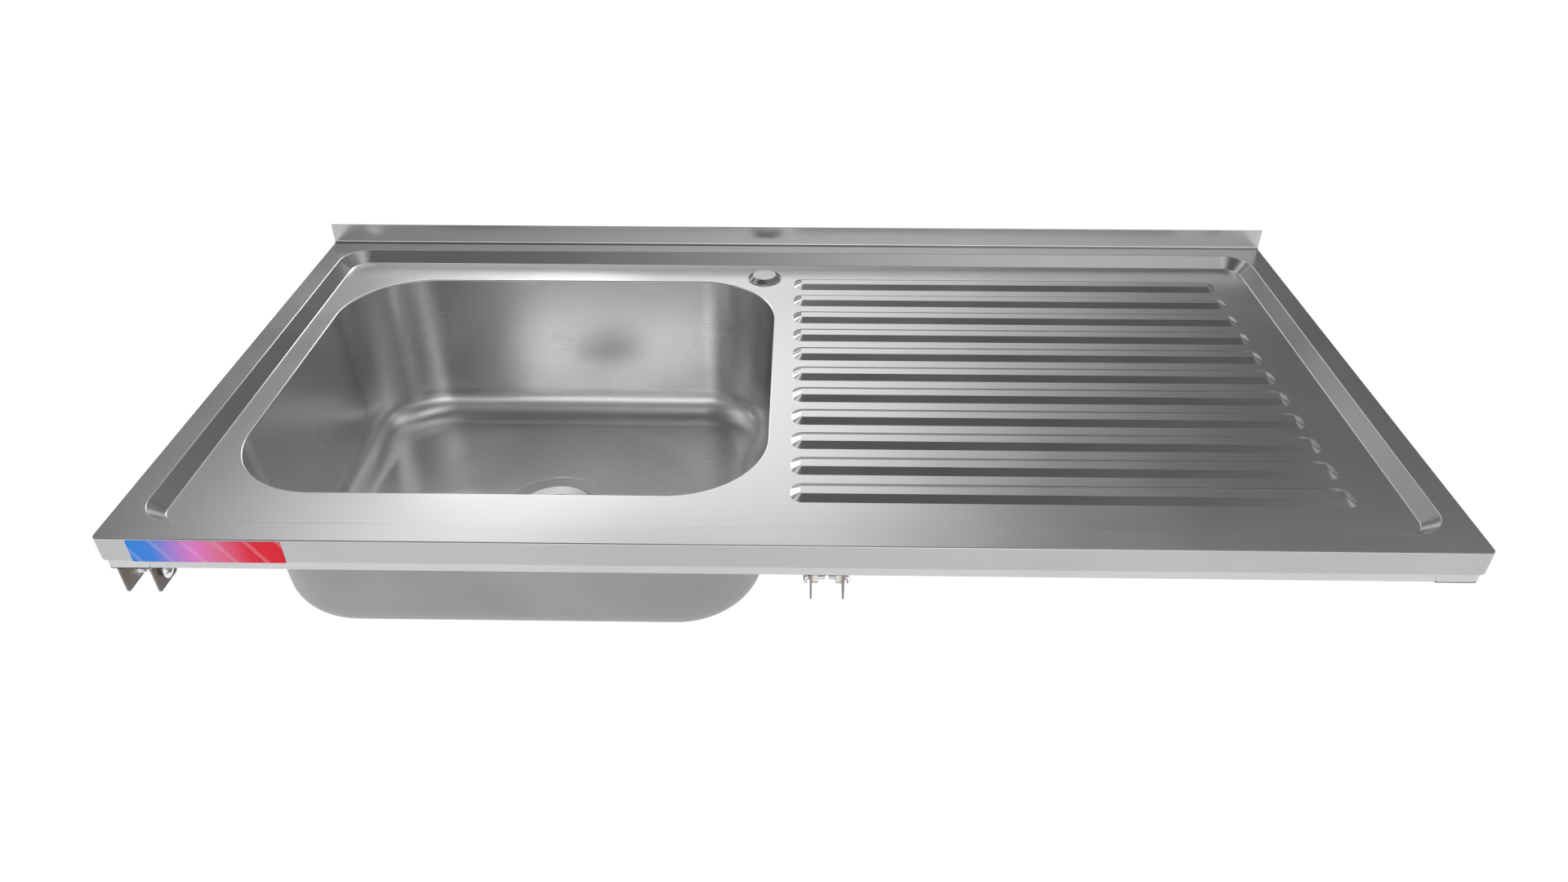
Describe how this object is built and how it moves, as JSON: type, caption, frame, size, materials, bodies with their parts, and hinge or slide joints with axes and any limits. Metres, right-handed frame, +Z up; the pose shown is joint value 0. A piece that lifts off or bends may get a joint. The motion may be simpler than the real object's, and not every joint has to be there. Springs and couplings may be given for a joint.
{
  "type": "commercial kitchen sink with drainboard",
  "caption": "Stainless steel sink top with one deep bowl on the left, a ribbed drainboard on the right, a low splashback, a plugged tap hole and a folded frame with leg brackets.",
  "frame": {"origin": "underside of the front rail, in the middle of the sink's length and of the rail's width", "axes": "+X to the right along the sink's length, +Y back towards the wall, +Z up"},
  "size_m": [1.4, 0.7004, 0.3884],
  "materials": {
    "worktop_steel": "satin, fine brushing along the length",
    "bowl_steel": "satin, drawn and polished",
    "frame_steel": "mill finish",
    "bracket_zinc": "dull galvanised",
    "nut_zinc": "zinc plated",
    "washer_zinc": "zinc plated",
    "screw_chrome": "bright plated",
    "plug_chrome": "bright chrome",
    "clip_nylon": "moulded",
    "seal_rubber": "moulded",
    "strainer_steel": "satin",
    "ring_fibre": "pressed fibre",
    "waste_nut_metal": "cast and plated",
    "tail_chrome": "bright chrome",
    "basket_steel": "polished",
    "label_film": "printed film"
  },
  "bodies": {
    "sink": {"worktop_sheet": "worktop_steel", "bowl": "bowl_steel", "front_rail": "frame_steel", "rear_rail": "frame_steel", "left_rail": "frame_steel", "right_rail": "frame_steel", "mid_rail": "frame_steel", "drainboard_stiffener_left": "frame_steel", "drainboard_stiffener_right": "frame_steel", "leg_bracket_left_front": "bracket_zinc", "leg_bracket_left_rear": "bracket_zinc", "leg_bracket_mid_front": "bracket_zinc", "leg_bracket_mid_rear": "bracket_zinc", "weld_nuts": "nut_zinc", "strainer_body": "strainer_steel", "flange_gasket": "seal_rubber", "under_gasket": "seal_rubber", "slip_ring": "ring_fibre", "lock_nut": "waste_nut_metal", "tail_nut": "waste_nut_metal", "tail_gasket": "seal_rubber", "tailpiece": "tail_chrome", "label": "label_film"},
    "tap_plug": {"tap_plug_cap": "plug_chrome", "tap_plug_clip": "clip_nylon", "tap_plug_seal": "seal_rubber"},
    "basket": {"basket": "basket_steel"},
    "stopper": {"stopper_post": "basket_steel", "stopper_seal": "seal_rubber", "stopper_knob": "basket_steel"},
    "lock_washer_left_front_a": {"lock_washer_left_front_a": "washer_zinc"},
    "leg_screw_left_front_a": {"leg_screw_left_front_a": "screw_chrome"},
    "lock_washer_left_front_b": {"lock_washer_left_front_b": "washer_zinc"},
    "leg_screw_left_front_b": {"leg_screw_left_front_b": "screw_chrome"},
    "lock_washer_left_rear_a": {"lock_washer_left_rear_a": "washer_zinc"},
    "leg_screw_left_rear_a": {"leg_screw_left_rear_a": "screw_chrome"},
    "lock_washer_left_rear_b": {"lock_washer_left_rear_b": "washer_zinc"},
    "leg_screw_left_rear_b": {"leg_screw_left_rear_b": "screw_chrome"},
    "lock_washer_mid_front_a": {"lock_washer_mid_front_a": "washer_zinc"},
    "leg_screw_mid_front_a": {"leg_screw_mid_front_a": "screw_chrome"},
    "lock_washer_mid_front_b": {"lock_washer_mid_front_b": "washer_zinc"},
    "leg_screw_mid_front_b": {"leg_screw_mid_front_b": "screw_chrome"},
    "lock_washer_mid_rear_a": {"lock_washer_mid_rear_a": "washer_zinc"},
    "leg_screw_mid_rear_a": {"leg_screw_mid_rear_a": "screw_chrome"},
    "lock_washer_mid_rear_b": {"lock_washer_mid_rear_b": "washer_zinc"},
    "leg_screw_mid_rear_b": {"leg_screw_mid_rear_b": "screw_chrome"}
  },
  "joints": [
    {"name": "tap_plug_lift", "type": "slide", "parent": "sink", "child": "tap_plug", "axis": [0, 0, 1], "range_m": [0, 0.03]},
    {"name": "basket_lift", "type": "slide", "parent": "sink", "child": "basket", "axis": [0, 0, 1], "range_m": [0, 0.06]},
    {"name": "stopper_lift", "type": "slide", "parent": "basket", "child": "stopper", "axis": [0, 0, 1], "range_m": [0, 0.01]},
    {"name": "leg_screw_left_front_a_travel", "type": "slide", "parent": "sink", "child": "lock_washer_left_front_a", "axis": [-1, 0, 0], "range_m": [-0.0017, 0.012]},
    {"name": "leg_screw_left_front_a_turn", "type": "hinge", "parent": "lock_washer_left_front_a", "child": "leg_screw_left_front_a", "pos_m": [-0.6959, 0, -0.0192], "axis": [-1, 0, 0], "range_deg": [-490.6, 3457]},
    {"name": "leg_screw_left_front_b_travel", "type": "slide", "parent": "sink", "child": "lock_washer_left_front_b", "axis": [1, 0, 0], "range_m": [-0.0017, 0.012]},
    {"name": "leg_screw_left_front_b_turn", "type": "hinge", "parent": "lock_washer_left_front_b", "child": "leg_screw_left_front_b", "pos_m": [-0.6531, 0, -0.0192], "axis": [1, 0, 0], "range_deg": [-490.6, 3457]},
    {"name": "leg_screw_left_rear_a_travel", "type": "slide", "parent": "sink", "child": "lock_washer_left_rear_a", "axis": [-1, 0, 0], "range_m": [-0.0017, 0.012]},
    {"name": "leg_screw_left_rear_a_turn", "type": "hinge", "parent": "lock_washer_left_rear_a", "child": "leg_screw_left_rear_a", "pos_m": [-0.6959, 0.649, -0.0192], "axis": [-1, 0, 0], "range_deg": [-490.6, 3457]},
    {"name": "leg_screw_left_rear_b_travel", "type": "slide", "parent": "sink", "child": "lock_washer_left_rear_b", "axis": [1, 0, 0], "range_m": [-0.0017, 0.012]},
    {"name": "leg_screw_left_rear_b_turn", "type": "hinge", "parent": "lock_washer_left_rear_b", "child": "leg_screw_left_rear_b", "pos_m": [-0.6531, 0.649, -0.0192], "axis": [1, 0, 0], "range_deg": [-490.6, 3457]},
    {"name": "leg_screw_mid_front_a_travel", "type": "slide", "parent": "sink", "child": "lock_washer_mid_front_a", "axis": [-1, 0, 0], "range_m": [-0.0017, 0.012]},
    {"name": "leg_screw_mid_front_a_turn", "type": "hinge", "parent": "lock_washer_mid_front_a", "child": "leg_screw_mid_front_a", "pos_m": [0.019, 0, -0.0192], "axis": [-1, 0, 0], "range_deg": [-490.6, 3457]},
    {"name": "leg_screw_mid_front_b_travel", "type": "slide", "parent": "sink", "child": "lock_washer_mid_front_b", "axis": [1, 0, 0], "range_m": [-0.0017, 0.012]},
    {"name": "leg_screw_mid_front_b_turn", "type": "hinge", "parent": "lock_washer_mid_front_b", "child": "leg_screw_mid_front_b", "pos_m": [0.0618, 0, -0.0192], "axis": [1, 0, 0], "range_deg": [-490.6, 3457]},
    {"name": "leg_screw_mid_rear_a_travel", "type": "slide", "parent": "sink", "child": "lock_washer_mid_rear_a", "axis": [-1, 0, 0], "range_m": [-0.0017, 0.012]},
    {"name": "leg_screw_mid_rear_a_turn", "type": "hinge", "parent": "lock_washer_mid_rear_a", "child": "leg_screw_mid_rear_a", "pos_m": [0.019, 0.649, -0.0192], "axis": [-1, 0, 0], "range_deg": [-490.6, 3457]},
    {"name": "leg_screw_mid_rear_b_travel", "type": "slide", "parent": "sink", "child": "lock_washer_mid_rear_b", "axis": [1, 0, 0], "range_m": [-0.0017, 0.012]},
    {"name": "leg_screw_mid_rear_b_turn", "type": "hinge", "parent": "lock_washer_mid_rear_b", "child": "leg_screw_mid_rear_b", "pos_m": [0.0618, 0.649, -0.0192], "axis": [1, 0, 0], "range_deg": [-490.6, 3457]}
  ],
  "couplings": [
    {"joint": "leg_screw_left_front_a_turn", "follows": "leg_screw_left_front_a_travel", "rad_per_m": 5026.6},
    {"joint": "leg_screw_left_front_b_turn", "follows": "leg_screw_left_front_b_travel", "rad_per_m": 5026.6},
    {"joint": "leg_screw_left_rear_a_turn", "follows": "leg_screw_left_rear_a_travel", "rad_per_m": 5026.6},
    {"joint": "leg_screw_left_rear_b_turn", "follows": "leg_screw_left_rear_b_travel", "rad_per_m": 5026.6},
    {"joint": "leg_screw_mid_front_a_turn", "follows": "leg_screw_mid_front_a_travel", "rad_per_m": 5026.6},
    {"joint": "leg_screw_mid_front_b_turn", "follows": "leg_screw_mid_front_b_travel", "rad_per_m": 5026.6},
    {"joint": "leg_screw_mid_rear_a_turn", "follows": "leg_screw_mid_rear_a_travel", "rad_per_m": 5026.6},
    {"joint": "leg_screw_mid_rear_b_turn", "follows": "leg_screw_mid_rear_b_travel", "rad_per_m": 5026.6}
  ]
}
